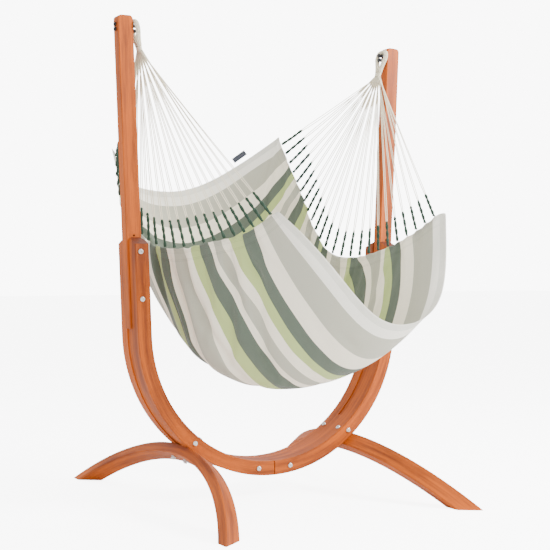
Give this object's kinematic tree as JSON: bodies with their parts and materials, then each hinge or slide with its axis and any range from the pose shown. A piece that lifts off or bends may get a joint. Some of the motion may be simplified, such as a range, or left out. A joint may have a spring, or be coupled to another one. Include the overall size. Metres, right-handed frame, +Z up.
{
  "type": "hammock chair on stand",
  "caption": "Striped cloth hammock chair hung by corded ends between the two posts of a laminated wooden U-shaped stand on arched feet.",
  "frame": {"origin": "on the floor, under the middle of the stand", "axes": "+Z up, +X from the left post to the right post, +Y from the front hem to the back hem of the hammock"},
  "size_m": [1.4206, 1.4928, 1.9993],
  "materials": {
    "oiled_wood": "satin oiled",
    "stainless_steel": "satin",
    "black_steel": "satin black",
    "striped_cloth": "woven matt",
    "green_cord": "twisted matt",
    "cream_cord": "twisted matt",
    "label": "woven matt"
  },
  "bodies": {
    "stand": {"centre_bolts": "stainless_steel", "centre_nuts": "stainless_steel", "centre_splice": "oiled_wood", "centre_washers": "stainless_steel", "crossing_bolts": "stainless_steel", "crossing_nuts": "stainless_steel", "crossing_washers": "stainless_steel", "foot_bolts": "stainless_steel", "foot_nuts": "stainless_steel", "foot_washers": "stainless_steel", "joint_bolts": "stainless_steel", "joint_nuts": "stainless_steel", "joint_washers": "stainless_steel", "left_back_cheek": "oiled_wood", "left_core": "oiled_wood", "left_foot": "oiled_wood", "left_front_cheek": "oiled_wood", "left_hanger_bolts": "black_steel", "left_hanger_nuts": "black_steel", "left_hanger_sleeves": "black_steel", "left_post": "oiled_wood", "right_back_cheek": "oiled_wood", "right_core": "oiled_wood", "right_foot": "oiled_wood", "right_front_cheek": "oiled_wood", "right_hanger_bolts": "black_steel", "right_hanger_nuts": "black_steel", "right_hanger_sleeves": "black_steel", "right_post": "oiled_wood"},
    "hammock": {"back_hem": "striped_cloth", "front_hem": "striped_cloth", "hammock_fabric": "striped_cloth", "label_tag": "label", "left_end_loops": "green_cord", "left_hanging_loop": "cream_cord", "left_neck_wrap": "cream_cord", "left_suspension_cords": "cream_cord", "right_end_loops": "green_cord", "right_hanging_loop": "cream_cord", "right_neck_wrap": "cream_cord", "right_suspension_cords": "cream_cord"}
  },
  "joints": [
    {"name": "hammock_swing", "type": "hinge", "parent": "stand", "child": "hammock", "pos_m": [0, 0, 1.962], "axis": [1, 0, 0], "range_deg": [-15, 15]}
  ]
}
